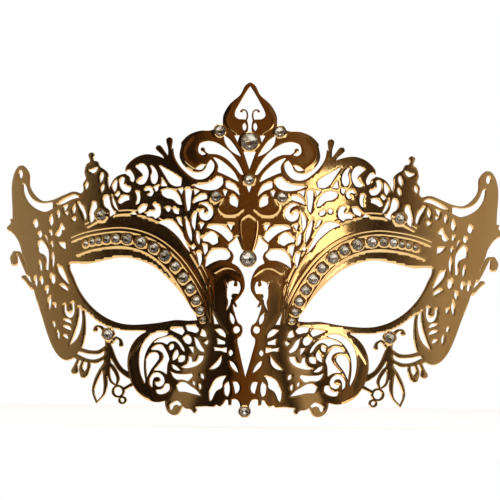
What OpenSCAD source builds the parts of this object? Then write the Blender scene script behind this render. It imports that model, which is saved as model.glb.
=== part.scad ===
// Venetian half mask: one pressed and pierced metal plate that wraps the face,
// with a stone-set brow band over each eye, a fleur-de-lis crown and faceted stones.
// Millimetres. +Z is up, the front of the mask faces -Y, the plate is symmetric in X.
// The origin is the point of the bridge, on the inside of the plate at eye level.

/* [Overall size] */
// Width across the two wing tips
mask_width = 189; // [150:1:220]
// Height from the crown tip to the nose tip
mask_height = 126; // [100:1:150]
// Radius of the curve that wraps the face
wrap_radius = 110; // [104:1:150]
// Thickness of the metal plate
plate_thickness = 0.9; // [0.6:0.1:1.5]

/* [Nose form] */
// Level where the nose ridge starts to rise
ridge_top = 10; // [0:1:20]
// Ridge radius where it starts
ridge_radius = 18; // [14:1:24]
// Forward rise of the ridge for each millimetre down
ridge_slope = 0.285; // [0.2:0.005:0.36]
// Radius of the flatter root of the nose
root_radius = 44; // [38:1:54]
// Forward rise of the root for each millimetre down
root_slope = 0.145; // [0.1:0.005:0.2]

/* [Piercing] */
// Radius of the ribbon eyelet in each wing tip
eyelet_radius = 1.6; // [1:0.1:1.8]

/* [Stones] */
// Gap between a stone and the wall of its seat
stone_clearance = 0.08; // [0.02:0.01:0.15]
// Depth of a seat below the front of the plate
seat_depth = 0.4; // [0.2:0.05:0.6]
// Metal left around an accent stone seat
collar = 0.55; // [0.4:0.05:1]
// Scale of every stone radius
stone_scale = 1; // [0.9:0.05:1.05]

/* [Hidden] */
drawn_width = 189.4;
drawn_height = 126.4;
sx = mask_width / drawn_width;
sz = mask_height / drawn_height;
axis_y = wrap_radius - plate_thickness;
reach = 200;
// Each ribbon eyelet sits this far out from the middle and this far up, as drawn.
eyelet_x = 89.2;
eyelet_z = 44.9;
stone_sides = 12;
round_sides = 48;
leaf_steps = 3;
stroke_steps = 1;
tip_power = 0.7;
bar_reach = 1.6;
depth_back = 62;
depth_front = 30;

// ---------------------------------------------------------------- stones
// Brow stones of one side, outer end first: x, z, radius.
brow_stones = [
  [62.6, 18.7, 0.95], [60.1, 19.5, 1.1], [57.6, 19.9, 1.15], [54.5, 20.6, 1.5],
  [50.9, 20.8, 1.6], [46.5, 20.7, 1.85], [41.1, 19.6, 2.0], [36.1, 17.5, 1.85],
  [31.9, 14.6, 2.05], [27.8, 10.6, 1.7], [24.6, 6.4, 1.85], [21.9, 2.2, 1.7],
  [19.6, -2.2, 1.6], [18.1, -6.0, 1.45], [16.9, -9.4, 0.95]];
// Accent stones on the centre line: z, radius.
crown_large = [58.1, 3.2];
fleur_small = [43.7, 1.8];
pendant = [13.8, 2.7];
nose_tip = [-43.6, 1.8];
// Accent stones of one side: x, z, radius.
crown_side = [11.3, 62.0, 1.95];
fleur_side = [12.5, 37.2, 1.85];
temple = [56.7, 29.7, 2.0];
cheek = [53.4, -15.4, 2.0];

// ---------------------------------------------------------------- outline
// Half outline from the crown tip, round the wing, to the nose tip.
outline = [
  [0, 80.4], [1.9, 79.2], [3.7, 75.8], [7.8, 72], [10.1, 67.8], [10.3, 64.2],
  [12.5, 63], [15.2, 62.1], [18.8, 62], [23.2, 60.3], [26.2, 57], [27.8, 57.4],
  [29.8, 54.5], [30.8, 50.8], [35.2, 52.3], [39.2, 52.9], [42.9, 51.9],
  [45.6, 50], [47.3, 47.8], [47.3, 46.1], [46, 45.4], [47.2, 45.5], [48.8, 45.2],
  [50.6, 44.4], [52.2, 42.8], [53, 41.2], [53.8, 39.6], [54.3, 42.6], [54.2, 45.2],
  [55.9, 47], [57.4, 47.9], [58.5, 49.9], [60.6, 50.5], [62.6, 48.9], [63.4, 45.6],
  [62.8, 43.5], [63.9, 41.5], [63.7, 39], [64.7, 37.9], [67.7, 38.5], [71.4, 37.2],
  [76.2, 35.2], [80.5, 34.9], [83.5, 37], [85.6, 40.4], [86, 45.3], [88.6, 48.2],
  [90, 48], [91.4, 46.2], [92.4, 43.2], [92.8, 39.7], [92.4, 31.6], [92.3, 28],
  [93.4, 27.8], [93, 26.4], [94.6, 24.6], [94.4, 23.7], [92, 22.2], [89.5, 18.9],
  [87.9, 14], [85.6, 7.9], [83.5, 1.9], [82, -3], [79.5, -9.6], [77.4, -15.7],
  [75, -21.1], [72.6, -24.2], [70.1, -25.7], [67.7, -25.3], [65.3, -22.9],
  [63.5, -20.3], [62.5, -16.3], [62.4, -10.8], [62.9, -6.4], [60.4, -8.4],
  [57, -11], [53.7, -12.6], [47.4, -14], [40.9, -14.1], [38.5, -14.2], [40.4, -15.2],
  [42.6, -17.2], [44.4, -20], [45.5, -23.4], [45.7, -27.1], [45.1, -31], [43.9, -34.2],
  [41.8, -37.2], [39.2, -39.3], [36.3, -40.6], [33.6, -40.9], [31, -40.3],
  [30.8, -42], [29.8, -44.3], [27.8, -45.5], [25.9, -45], [24.7, -43.2],
  [24, -41.9], [22.8, -42.9], [20.9, -43.1], [19.4, -44.6], [18.5, -43.6],
  [18.9, -42.2], [15, -41.9], [11.8, -42], [10.8, -41.3], [9.6, -41.9], [8.2, -40.8],
  [7.3, -39.4], [6.4, -39.4], [6.2, -41.3], [5.1, -41.3], [5, -39.2], [3.6, -39],
  [2.4, -39.8], [1.7, -42], [0, -43]];
// Opening for one eye, outer corner first.
eye = [
  [69, 11], [62.5, 11], [55.5, 12.4], [48.4, 13.7], [41.6, 12.7], [35.2, 9.9],
  [30, 5.4], [24.9, -0.1], [21.6, -5], [19.1, -9.5], [27, -9.6], [33.6, -10.7],
  [40.9, -11.5], [47.4, -11.4], [53.7, -9.5], [59.7, -5.5], [64.5, 0.1], [67.5, 6.1]];
// Gap of the nose, half of it.
nose_gap = [
  [0, 23], [4, 23], [5, 21], [7.2, 19], [7.4, 17.6], [6.1, 16.2], [5.5, 14.4],
  [6.2, 12.2], [4, 11], [2.1, 8.4], [1.1, 4.7], [1.4, 1.8], [3.4, -1.2], [4.6, -2.4],
  [5.4, -4], [4.6, -7], [3.4, -10], [2, -11.2], [1.5, -13], [2, -15],
  [3.3, -16.4], [2.3, -21.7], [1.1, -26.2], [0, -30.5]];
// Lower petal of the fleur-de-lis, half of it.
low_petal = [[0, 36], [4.6, 32], [4.8, 26], [4.2, 21.5], [2.8, 18], [1.6, 15.8], [0, 14]];

// ---------------------------------------------------------------- openings
// Openings that cross the centre line, half of each.
centre_openings = [
  [[0, 78.9], [2, 75.8], [4, 72.3], [5.4, 69.7], [5.8, 67.9], [4.6, 66.7], [2.6, 66.5],
   [1.1, 66.3], [0.7, 64.8], [0.6, 63], [0.9, 61], [0, 61]],
  [[0, 54.1], [2.3, 54.1], [0, 47.6]],
  [[0, 41.2], [0.9, 41.2], [0, 38.8]]];
// Crown: rays, petal curls and the crescent that frees the side petal.
crown_openings = [
  [[5.8, 60.2], [3.9, 60.3], [4.6, 57.8]],
  [[19.5, 55.5], [18.8, 57], [16.2, 57.9], [13.2, 57.6], [10.1, 56], [7.1, 53.6],
   [4.1, 49.6], [2.2, 45.6], [3, 45.6], [5.4, 48.3], [8.7, 51.4], [12.2, 53.1],
   [15.8, 53.3], [18, 52.8], [19.4, 53.8]],
  [[13.9, 52], [11.1, 50.9], [7.7, 48.3], [5.4, 45.8], [4, 42.8], [7.1, 44.4],
   [10.1, 45.8], [12, 46.5], [11.9, 48.9]],
  [[29.2, 59], [29.2, 55.4], [28.4, 51.6], [25.3, 47.2], [20.3, 43.7], [16.5, 44.1],
   [13.6, 47.2], [13.4, 49.6], [14.7, 51], [16, 49.2], [17.4, 46.7], [20.9, 46.1],
   [24.7, 48.4], [26.6, 52.2], [26, 56.6], [26.6, 59]],
  [[21.3, 41.3], [17.2, 41.7], [13.7, 43], [12.2, 44.7], [10, 44], [10, 41.9],
   [12.2, 40], [15.7, 39.6], [19.3, 40.3]],
  [[8.7, 42.7], [6.1, 42], [4.4, 40.2], [3.5, 37.7], [5.8, 39.5], [8.7, 40.8]],
  [[9.9, 39.3], [8.2, 39.4], [9.1, 37.2]],
  [[7.1, 37.1], [5.3, 37.4], [4.1, 35.1], [4.4, 33.2], [7.1, 34.6]],
  [[7.9, 26.7], [5.9, 26.6], [6.6, 24.4]]];
// Forehead between the crown and the brow band.
forehead_openings = [
  [[43.6, 48], [41.4, 49.1], [39.5, 48.5], [38.4, 46], [38.9, 43.5], [40.1, 41.7],
   [42, 41.4], [43, 42], [41.2, 43.8], [40.8, 45], [42, 46.3]],
  [[38, 48.7], [36.4, 47.9], [35, 45.7], [34.9, 43.2], [35.7, 41.7], [37, 41.9],
   [37.7, 43.8], [37.2, 46.3]],
  [[34.6, 48.7], [32.3, 47.6], [29.1, 45.4], [25.8, 43.2], [26, 41], [28.2, 40.9],
   [30.2, 41.9], [31.9, 44.4], [33.5, 46.9]],
  [[33.2, 43.8], [31.2, 40.9], [33.7, 40.9]],
  [[36.4, 40.3], [34.5, 41], [34.8, 39.2], [35.7, 38.8]],
  [[40, 38.9], [38.9, 40.2], [37.3, 40], [36.4, 38.4], [37.3, 36.9], [38.6, 37.2],
   [37.8, 38.4], [38.3, 39.2]],
  [[33.4, 39], [31.3, 39.7], [28.5, 39.1], [26.7, 37.2], [25.4, 33.9], [26.9, 34.1],
   [29.1, 35.9], [31.6, 36.5], [33.2, 37.7]],
  [[27.1, 39.8], [24.9, 39.8], [25.6, 37.7]],
  [[24.1, 39.4], [23, 40], [21.8, 39.1], [22, 36.9], [22.6, 31.9], [23.4, 31.6], [24.1, 36]],
  [[21, 39.8], [18.8, 39.2], [20.6, 37.6]],
  [[21.2, 34.4], [20, 36.5], [18.1, 37.7], [16.4, 37.7], [15.8, 36.4], [17.5, 35.8],
   [19.3, 35.3]],
  [[18.4, 34.4], [16.2, 34.5], [14.4, 33.1], [13.5, 30.9], [14.4, 29], [16.2, 28.1],
   [18.1, 28.8], [18.9, 30.5], [18.1, 31.8], [16.9, 31.9], [17.1, 30.9], [16.2, 30.3],
   [15.4, 31.2], [15.9, 33]],
  [[42.5, 31.6], [40.1, 33.6], [38.8, 33.1], [39.5, 31.5], [42, 30.3]],
  [[36.7, 33.7], [35.1, 34], [33.6, 32.1], [33.9, 29.7], [35.7, 28.4], [36.6, 29.3],
   [38.9, 29.4], [39.2, 30.4], [37.9, 31.3], [36, 31.2], [35.8, 32.3]],
  [[45.2, 30.1], [43.9, 31.2], [42.8, 30]],
  [[43.5, 38.6], [42.1, 38.5], [41.5, 36.9], [42, 34.4], [43.2, 33.6], [42.9, 36.5]],
  [[34.5, 26.9], [32.3, 27.9], [29.4, 27.8], [27.3, 26.1], [25.4, 23.3], [23.6, 19.2],
   [22.1, 15.9], [24, 18], [26.4, 21.2], [29, 23.7], [31.8, 25.7]],
  [[27.5, 28.8], [26.4, 28.7], [25.1, 25.6], [26.5, 26.7]],
  [[18.7, 26.8], [16.8, 26.8], [18.1, 24.6]],
  [[16, 25.4], [13, 26.4], [9.4, 25.8], [7, 23.9], [5.9, 21.6], [7.4, 20.2],
   [8.9, 21.6], [10.9, 23.4], [13.5, 24.7]],
  [[15.5, 22.9], [14, 23.8], [12, 22.4], [11.5, 19.8], [13.5, 18.9], [15, 19.9],
   [17.3, 20.4], [17.3, 21.3]],
  [[17.4, 18.8], [15.7, 18.8], [15.4, 16.9], [16.6, 15]],
  [[19.7, 15.9], [17.9, 15.9], [17.6, 13.2], [18.4, 10.4]],
  [[16.3, 10.4], [15.6, 14.2], [13.5, 16.7], [9.9, 17.3], [7.4, 16.2], [6.7, 14.7],
   [8, 13.5], [10.9, 13.2], [14, 12]]];
// Palmette, tower and the lace of the wing.
wing_openings = [
  [[51.2, 42.6], [50.5, 42.9], [50.7, 40], [51.5, 38.2], [52.6, 40.3]],
  [[49, 43.8], [47.6, 43.8], [48, 41.4], [46.4, 40.4], [45, 40], [45.8, 38.5],
   [47.7, 38.5], [49.3, 40], [49.8, 41.9]],
  [[50.1, 34.4], [49.2, 36.1], [47.4, 37], [45.9, 36.8], [45.7, 35.6], [47.4, 35],
   [49.3, 34]],
  [[51.4, 37.2], [49.9, 38.5], [49.3, 37.8], [50.5, 36.4]],
  [[55.9, 35.6], [54.6, 37.2], [53.8, 36.7], [52.6, 32.5], [51, 30.3], [53.4, 29],
   [53.6, 31.4], [55.6, 33.2]],
  [[60.9, 26.4], [61.3, 29.2], [60.1, 34.4], [58.7, 34.4], [58.3, 32.6], [59.5, 30.6],
   [59.3, 28.2]],
  [[45.5, 46.6], [44.5, 45.4], [43.8, 43.6], [44.3, 42.2], [45.5, 42.8], [45.8, 44.1],
   [47.3, 45.2], [46.9, 46.4]],
  [[88.4, 41.2], [87.2, 41], [85.7, 37.6], [83.5, 34.9], [80.1, 33.8], [75.9, 34.2],
   [75.9, 31.9], [78.9, 30.7], [82.6, 31.6], [85.9, 34], [87.9, 37.6]],
  [[74.3, 33.1], [72, 35], [68.9, 36.6], [66.8, 37.1], [65.4, 36.3], [68.3, 35.5],
   [71.4, 34]],
  [[66.3, 34.5], [64.7, 33.6], [62.9, 31.1], [62.5, 28.2], [63.2, 27.7], [64.1, 30.4],
   [65.4, 32.6]],
  [[71.7, 32.6], [69.6, 33.5], [70.4, 31.7], [71.3, 30.6]],
  [[72.4, 26.3], [70.8, 24.1], [72.2, 23.7], [72.3, 22.2], [73.6, 21.2], [74.7, 21.7],
   [73.5, 23.4]],
  [[79.1, 21.5], [78, 21], [77.3, 17.5]],
  [[73.5, 18.8], [70.6, 18.8], [70.4, 16.5], [72.3, 17.3]],
  [[81.6, 18.5], [80.5, 19.8], [79, 18.5], [77.4, 15.9], [77.3, 8.5], [78.6, 8.7],
   [78.7, 13.4], [80, 14.6], [81.4, 15.2]],
  [[74, 10.2], [71.9, 9.3], [68.9, 3], [71, 4.7], [73.4, 7.8]],
  [[71, -4.5], [70.2, -4.7], [69.6, -7.2], [68.5, -7.8], [67.8, -7], [68, -3.8],
   [66.9, -3.8], [66.7, -7], [67.7, -9.2], [69.5, -9.2], [70.8, -7.2]],
  [[65, -5], [63.9, -7], [63.8, -12.1], [65.4, -16.9], [68.6, -20.2], [67.1, -16.5],
   [65.3, -10.8]]];
// Cheek scroll and the side of the nose.
cheek_openings = [
  [[30.2, -14.7], [32.9, -14.3], [35.4, -14.9], [37.9, -16.5], [39.8, -18.9],
   [41, -22.1], [41.3, -25.9], [40.6, -30.3], [38.9, -34], [38.7, -33], [39.2, -29.6],
   [39.3, -25.9], [38.8, -22.7], [37.3, -19.6], [34.8, -16.9], [30.6, -15.3]],
  [[35.7, -18.5], [33.8, -17.1], [30.7, -16.1], [27.8, -16.5], [25.5, -18.1],
   [23.8, -20.7], [23.8, -21.5], [24.7, -20.9], [26.3, -18.6], [27.8, -17.6],
   [29.4, -17.9], [30.5, -19], [32.3, -18.2], [34.1, -18.1]],
  [[36.6, -21], [34.8, -19.5], [32.6, -19.2], [31.4, -20.5], [29.6, -24.3],
   [30.2, -26.2], [30.5, -30.2], [32.9, -28.9], [35.4, -28.8], [33.6, -26.8],
   [32, -24.6], [32.1, -22.5], [33.8, -21.2]],
  [[38.4, -24.6], [37.3, -22.9], [35.4, -22.1], [33.9, -22.6], [33.5, -24],
   [34.6, -25.9], [36.3, -28.1], [37.3, -30], [38.1, -31.6], [38.6, -27.1]],
  [[24.8, -27.4], [22.7, -26], [22.1, -23.2], [21.1, -23.6], [20.6, -25.4],
   [19.2, -25], [18.3, -22.9], [16.2, -23], [16.6, -24.6], [18.4, -26.4],
   [20.6, -27.3], [23, -27.7]],
  [[22.1, -19.7], [20.3, -19.8], [20.2, -22.2], [21, -21.5]],
  [[24.6, -16.6], [22.8, -15.4], [21.4, -16.1], [21.1, -17.7], [21.9, -18.7],
   [23.4, -18.2]],
  [[29.4, -13.3], [27.2, -12.8], [24.7, -12.7], [23.8, -13.9], [24.7, -15.3],
   [26.6, -14.6]],
  [[23.4, -11.9], [21.2, -11.7], [19.2, -12.1], [18.3, -13.3], [19.3, -14.3],
   [21.2, -13.9], [22.8, -13.5]],
  [[17.1, -12.9], [15.9, -13.8], [15.3, -15.6], [16.5, -15.7], [17.9, -15.2]],
  [[20.2, -15.9], [18.7, -17], [17.3, -19.2], [16, -21], [16.5, -21.5], [18.4, -20.6],
   [19.5, -19.1]],
  [[16.4, -18], [14.8, -16.9], [14.6, -18], [15.3, -18.8]],
  [[28.6, -26.5], [27.2, -26.9], [25.3, -28.5], [26.3, -28.7], [28.3, -27.7]],
  [[29, -29.1], [27.2, -29.9], [24.1, -30.1], [20.7, -29.7], [20.2, -30.6],
   [21.2, -31.7], [22.2, -32.5], [24.1, -32], [26.6, -32], [28.2, -30.9]],
  [[26.8, -34.4], [25.3, -33.1], [23.1, -33.2], [20.9, -34.5], [18.7, -35.9],
   [17, -37.8], [19.7, -37.3], [22.8, -36.6], [26, -36.3]],
  [[37, -34.1], [37, -32.2], [35.7, -30.2], [33.8, -29.7], [32, -30.8], [31.3, -32.5],
   [31.9, -34.2], [33.5, -34.9], [34.8, -34.2], [35, -33.3], [33.8, -33.4],
   [32.9, -32.5], [33.6, -31.3], [35.1, -31.4], [35.8, -32.7], [35.9, -35.4]],
  [[34.6, -36.3], [32.3, -35.8], [30.8, -33.8], [29.4, -33.9], [29.3, -35.9],
   [30.7, -37.2], [32.9, -37.7], [34.3, -37.3]],
  [[29.1, -43.5], [29.3, -41.9], [28.1, -40.7], [26, -40.1], [24.4, -41.3],
   [24.9, -42.1], [26.3, -41.5], [27.4, -42], [28.1, -43.4]]];
nose_openings = [
  [[7.2, 4.8], [5.5, 5.4], [3.4, 5], [2.7, 2.9], [3.3, 0.8], [4.4, 0.3], [6.2, -1.6],
   [6.9, -3.2], [7.8, -0.9], [7.9, 2.2]],
  [[13.3, -6.4], [10.9, -10.8], [12.5, -10.9]],
  [[12, -13], [10, -12.7], [8.1, -14.5], [7.9, -15.8], [10, -14.9]],
  [[11.3, -16.2], [8.1, -17.5], [8.1, -18.4], [11, -18.4]],
  [[12.4, -19.6], [9.3, -20], [7.4, -19.6], [7.4, -21.5], [9.7, -20.9], [12, -20.9]],
  [[7.3, -30.3], [8.5, -32.5], [8.9, -34.7], [10.8, -35.9], [11.8, -37.5],
   [12.5, -39.2], [13.1, -39.9], [13.6, -39], [13.8, -36.6], [12.9, -34.1],
   [11.5, -31.7], [9.3, -30.6]],
  [[7.8, -33.7], [6.4, -32.4], [5.9, -34.1], [5.9, -36.3], [6.4, -37.9], [7.6, -37.2]],
  [[4.7, -32.6], [3.1, -32.6], [2.1, -34.7], [2.8, -36.5], [3.7, -36.8], [4, -35.3]]];
// Leaf-shaped openings: start x z, end x z, half width at start and end, bow.
leaf_openings = [
  [2.05, 65.1, 2.05, 62.1, 0.75, 0.75, 0], [9.9, 60.4, 3.2, 52.4, 1.5, 0.9, 0.5],
  [20.4, 47.5, 16.9, 49, 0.6, 0.9, 0.3],
  [30.7, 33.1, 30.7, 31.1, 0.9, 0.9, 0], [29, 32.4, 26.5, 30.5, 0.8, 0.9, 0],
  [24.1, 29, 21.6, 20, 0.7, 0.9, -0.1], [19.5, 31.7, 20.4, 24.2, 0.7, 0.9, 0.9],
  [19.7, 24, 18.7, 18.9, 0.5, 0.8, 0], [21.8, 17.8, 20.2, 17.8, 0.7, 0.7, 0],
  [52.5, 37.2, 49.9, 31.2, 0.5, 0.6, 0.5],
  [62, 46.4, 58.1, 47.9, 0.7, 0.7, 0.9], [56.1, 45.9, 57.2, 41.8, 0.8, 0.6, 0],
  [61.9, 42.1, 63, 39.2, 0.6, 0.6, 0], [55.6, 41.2, 56.8, 38.2, 0.5, 0.6, 0],
  [73.4, 31.3, 73.6, 27.9, 0.6, 0.6, 0], [66.9, 33.4, 67.7, 29.9, 0.5, 0.7, 0],
  [70.9, 30.1, 69.6, 30, 0.6, 0.6, 0], [68.1, 27.7, 66.5, 28, 0.7, 0.7, 0],
  [82.6, 27.6, 82.8, 24.2, 1.1, 1.1, 0], [76.1, 30, 76.6, 25.1, 0.3, 1.3, 0],
  [80.5, 23.2, 81.3, 20.6, 0.8, 0.9, 0], [76.7, 23.6, 76.2, 21.3, 0.6, 0.6, 0],
  [80.8, 12.3, 80.3, 7.5, 0.6, 0.6, 0], [76, 19.2, 75.9, 16.8, 0.5, 0.5, 0],
  [75.4, 15.5, 75.6, 8.8, 0.7, 0.5, 0], [82.6, 6, 82.2, 1.9, 0.7, 0.7, 0],
  [80, 6, 80, 2.6, 0.7, 0.8, 0], [75.8, 7, 75.2, 3, 0.9, 1.1, 0],
  [77.5, 2.4, 78, -1, 0.7, 0.6, 0], [72.7, 2.6, 69.3, 0.5, 0.6, 0.6, -0.5],
  [76.5, -1.4, 76.9, -7.1, 0.8, 0.5, 0], [75, -4.1, 74.1, -6.1, 0.5, 0.5, 0],
  [71, -10.5, 67.7, -11.5, 0.6, 0.6, -0.4], [71.2, -13, 67.7, -14.2, 0.6, 0.6, -0.4],
  [71.2, -16.3, 69, -17.3, 0.6, 0.6, -0.2], [75, -10.9, 74.6, -13.4, 0.6, 0.6, 0],
  [73.3, -13.9, 72.8, -18.1, 0.6, 0.5, 0],
  [29.6, -21, 27.9, -18.9, 0.8, 0.8, 0], [28.4, -25, 26.4, -20.9, 0.8, 1.1, 0.3],
  [26.2, -25.3, 23.5, -23.2, 1.1, 1.2, 0],
  [17.2, -29.6, 16, -31.6, 0.7, 0.6, 0], [20.4, -32.4, 19.4, -34.1, 0.6, 0.5, 0],
  [17.6, -33.2, 17.2, -35.6, 0.6, 0.5, 0],
  [8.3, 5.2, 7.9, -5.9, 0.7, 0.6, -1.4], [6.4, -6.6, 4.9, -10.8, 0.7, 0.9, 0],
  [5.8, -20.5, 5.8, -22.8, 0.8, 0.8, 0], [6.2, -24.6, 2.8, -29, 0.9, 0.5, 0],
  [9.3, -22.6, 14, -27.9, 0.7, 1, -1.1]];

// ---------------------------------------------------------------- bars
// Tapered bars and curls added to the plate: a chain of x, z, half width.
bars = [
  [[1.3, 66.3, 0.35], [0.95, 67.8, 0.3], [1.4, 69.5, 0.3], [2.5, 70.1, 0.3], [3.3, 69.4, 0.5]],
  [[15.8, 53, 0.4], [17, 53.9, 0.35], [17.8, 54.9, 0.8]],
  [[30.6, 58.2, 1.2], [30.4, 55, 0.65], [29.8, 49.5, 1.2]],
  [[34.7, 55.3, 1.1], [32.3, 52.6, 0.8], [30.2, 49.6, 1.2]],
  [[60.9, 52.3, 1.1], [60.8, 50.8, 0.6], [60.6, 49.4, 0.8]],
  [[91.5, 10.9, 1.1], [91.8, 13, 1.3], [91.2, 15.1, 0.8], [89.8, 14.9, 0.6],
   [87.9, 11.3, 0.6], [85.4, 6.6, 0.8]],
  [[87.5, 5.7, 0.8], [86, 4.1, 0.65], [83.6, 1.6, 0.9]],
  [[4.5, 5.6, 0.4], [4.6, 3.9, 0.7]],
  [[3.3, 0.2, 0.6], [5.2, -0.3, 1]],
  [[5.3, -0.6, 0.6], [5.1, -2.4, 0.45], [4.3, -4.1, 0.45]],
  [[58.4, -13.9, 0.9], [58, -12.6, 0.5], [56.6, -12.6, 0.5], [54.4, -14.4, 0.8]],
  [[48.3, -19.5, 0.8], [48.6, -17.6, 0.5], [50.2, -16.6, 0.5], [52.2, -18.6, 0.8]],
  [[53.4, -16, 1.5], [53.3, -20, 1.1], [53.6, -24, 1.5], [53.6, -30.6, 0.9]],
  [[53.3, -20, 0.8], [57, -22.3, 0.9], [61, -22.3, 0.8], [65.5, -21.4, 1]],
  [[53.6, -23.6, 0.8], [58, -25.8, 0.9], [62, -25.5, 0.8], [66.5, -23.8, 1]],
  [[64.6, -24.4, 0.6], [65.9, -27.3, 0.6], [66.4, -29.6, 1.3]],
  [[63, -25.2, 0.5], [64, -28.5, 0.6], [62.8, -31.2, 1.2]],
  [[60.7, -25.4, 0.5], [61, -28.5, 0.6], [62.2, -31, 0.9]],
  [[52.9, -20.6, 1.1], [50.7, -25.3, 0.9], [48.2, -28.8, 0.9], [44.6, -31.2, 1.1]],
  [[47.2, -36.2, 0.7], [45.6, -35.2, 0.6], [43.6, -34.2, 0.8]]];
// Drops that hang from the cheek stone: solid leaf, then the opening in it.
drop_solids = [
  [54.4, -25, 57.7, -41.8, 1.4, 3.9, 0], [53.4, -25, 49.6, -35.6, 1.4, 2.8, 0]];
drop_openings = [
  [55.4, -29.2, 57.5, -40.8, 0.5, 2.7, 0], [52.7, -27.4, 50.2, -34.4, 0.4, 1.6, 0]];
// Rings: x, z, outer radius, bore radius.
rings = [[49.2, -37, 2.5, 1.6], [47.5, -40.3, 1.6, 0.75], [3.8, -12.9, 2.1, 1.25]];

// ---------------------------------------------------------------- curve tools
function bend(p, q, bow, t) =
  let (d = q - p, n = [-d[1], d[0]] / norm(d))
  p + d * t + n * bow * 4 * t * (1 - t);
// Outline of a leaf between two points, wider where its half width says so.
function leaf(v) =
  let (p = [v[0], v[1]], q = [v[2], v[3]],
       n = [-(q - p)[1], (q - p)[0]] / norm(q - p),
       ts = [for (i = [1:leaf_steps]) i / (leaf_steps + 1)],
       w = [for (t = ts) (v[4] * (1 - t) + v[5] * t) * pow(sin(180 * t), tip_power)],
       k = len(ts) - 1)
  concat([p], [for (i = [0:k]) bend(p, q, v[6], ts[i]) + n * w[i]],
         [q], [for (i = [k:-1:0]) bend(p, q, v[6], ts[i]) - n * w[i]]);
// Point on the smooth curve through four neighbours.
function spline(a, b, c, d, t) =
  0.5 * (2 * b + (c - a) * t + (2 * a - 5 * b + 4 * c - d) * t * t
         + (3 * b - a - 3 * c + d) * t * t * t);
function open_curve(p, k) =
  let (m = len(p) - 1)
  concat([for (i = [0:m - 1], j = [0:k - 1])
            spline(p[max(i - 1, 0)], p[i], p[i + 1], p[min(i + 2, m)], j / k)], [p[m]]);
function closed_curve(p, k) =
  let (m = len(p))
  [for (i = [0:m - 1], j = [0:k - 1])
     spline(p[(i + m - 1) % m], p[i], p[(i + 1) % m], p[(i + 2) % m], j / k)];
// Outline of a bar of changing width along a chain of knots, with round ends.
function cap(c, dir, r) = [for (a = [60, 0, -60]) c + r * [cos(dir + a), sin(dir + a)]];
function bar(p) =
  let (s = open_curve(p, stroke_steps), m = len(s) - 1,
       xy = [for (v = s) [v[0], v[1]]],
       tan = [for (i = [0:m]) let (d = xy[min(i + 1, m)] - xy[max(i - 1, 0)]) d / norm(d)],
       left = [for (i = [0:m]) xy[i] + s[i][2] * [-tan[i][1], tan[i][0]]],
       right = [for (i = [m:-1:0]) xy[i] - s[i][2] * [-tan[i][1], tan[i][0]]],
       end = atan2(tan[m][1], tan[m][0]), start = atan2(-tan[0][1], -tan[0][0]))
  concat(left, cap(xy[m], end, s[m][2]), right, cap(xy[0], start, s[0][2]));

// ---------------------------------------------------------------- piercing pattern
accents = concat(
  [for (v = [crown_side, fleur_side, temple, cheek]) v],
  [for (v = [crown_large, fleur_small, pendant, nose_tip]) [0, v[0], v[1]]]);
function gap(h, c) = min([for (p = h) norm(p - c)]);
function meets(h, b) = min([for (k = b) gap(h, [k[0], k[1]])]) < bar_reach;

// Drawn outlines follow the overall width and height; side -1 is the mirrored half.
module outline_of(h, side = 1) {
  polygon([for (p = h) [side * p[0] * sx, p[1] * sz]]);
}
module disc(x, z, r, side = 1) {
  translate([side * x * sx, z * sz]) circle(r = r, $fn = 16);
}
module collars(list, side = 1) {
  for (v = list) disc(v[0], v[1], v[2] * stone_scale + collar, side);
}
module rim_discs(list, side = 1) {
  for (r = list) disc(r[0], r[1], r[2], side);
}
module bar_shapes(list, side = 1) {
  for (b = list) outline_of(bar(b), side);
}
// An opening, less any bar, ring or stone collar that stands in it. Side 0 is on the middle.
module opening(h, side) {
  near_bars = [for (b = bars) if (meets(h, b)) b];
  near_rings = [for (r = rings) if (gap(h, [r[0], r[1]]) < r[2] + bar_reach) r];
  near_stones = [for (v = accents) if (gap(h, [v[0], v[1]]) < v[2] + collar + bar_reach) v];
  own = side == 0 ? 1 : side;
  if (len(near_bars) + len(near_rings) + len(near_stones) == 0) outline_of(h, own);
  else offset(delta = 0) difference() {
    outline_of(h, own);
    for (s = side == 0 ? [-1, 1] : [side]) {
      bar_shapes(near_bars, s);
      rim_discs(near_rings, s);
      collars(near_stones, s);
    }
  }
}
// The gap of the nose, with the petal, the pendant and the nose scrolls left in it.
function both(h) = concat(h, [for (k = [len(h) - 1:-1:0]) if (h[k][0] > 0) [-h[k][0], h[k][1]]]);
module centre_gap() {
  offset(delta = 0) difference() {
    outline_of(both(nose_gap));
    collars(accents);
    for (side = [-1, 1]) {
      outline_of(low_petal, side);
      bar_shapes(bars, side);
      rim_discs(rings, side);
    }
  }
}
module silhouette() {
  offset(delta = 0) for (side = [-1, 1]) {
    outline_of(outline, side);
    for (v = drop_solids) outline_of(leaf(v), side);
    bar_shapes(bars, side);
    rim_discs(rings, side);
    collars(accents, side);
  }
}
// Runs a flat shape through the depth of the form.
module through() {
  translate([0, depth_back, 0]) rotate([90, 0, 0])
    linear_extrude(height = depth_back + depth_front) children();
}
module pierce(list, side = 0) {
  for (h = list) through() opening(h, side);
}
module pierce_rings(side) {
  for (r = rings) through() disc(r[0], r[1], r[3], side);
}

// Every opening, run through the form.
module openings() {
  through() centre_gap();
  pierce([for (h = centre_openings) both(h)]);
  for (side = [-1, 1]) {
    pierce(crown_openings, side);
    pierce(forehead_openings, side);
    pierce(wing_openings, side);
    pierce(cheek_openings, side);
    pierce(nose_openings, side);
    pierce([for (v = concat(leaf_openings, drop_openings)) leaf(v)], side);
    pierce_rings(side);
    through() outline_of(closed_curve(eye, 2), side);
  }
}

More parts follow.
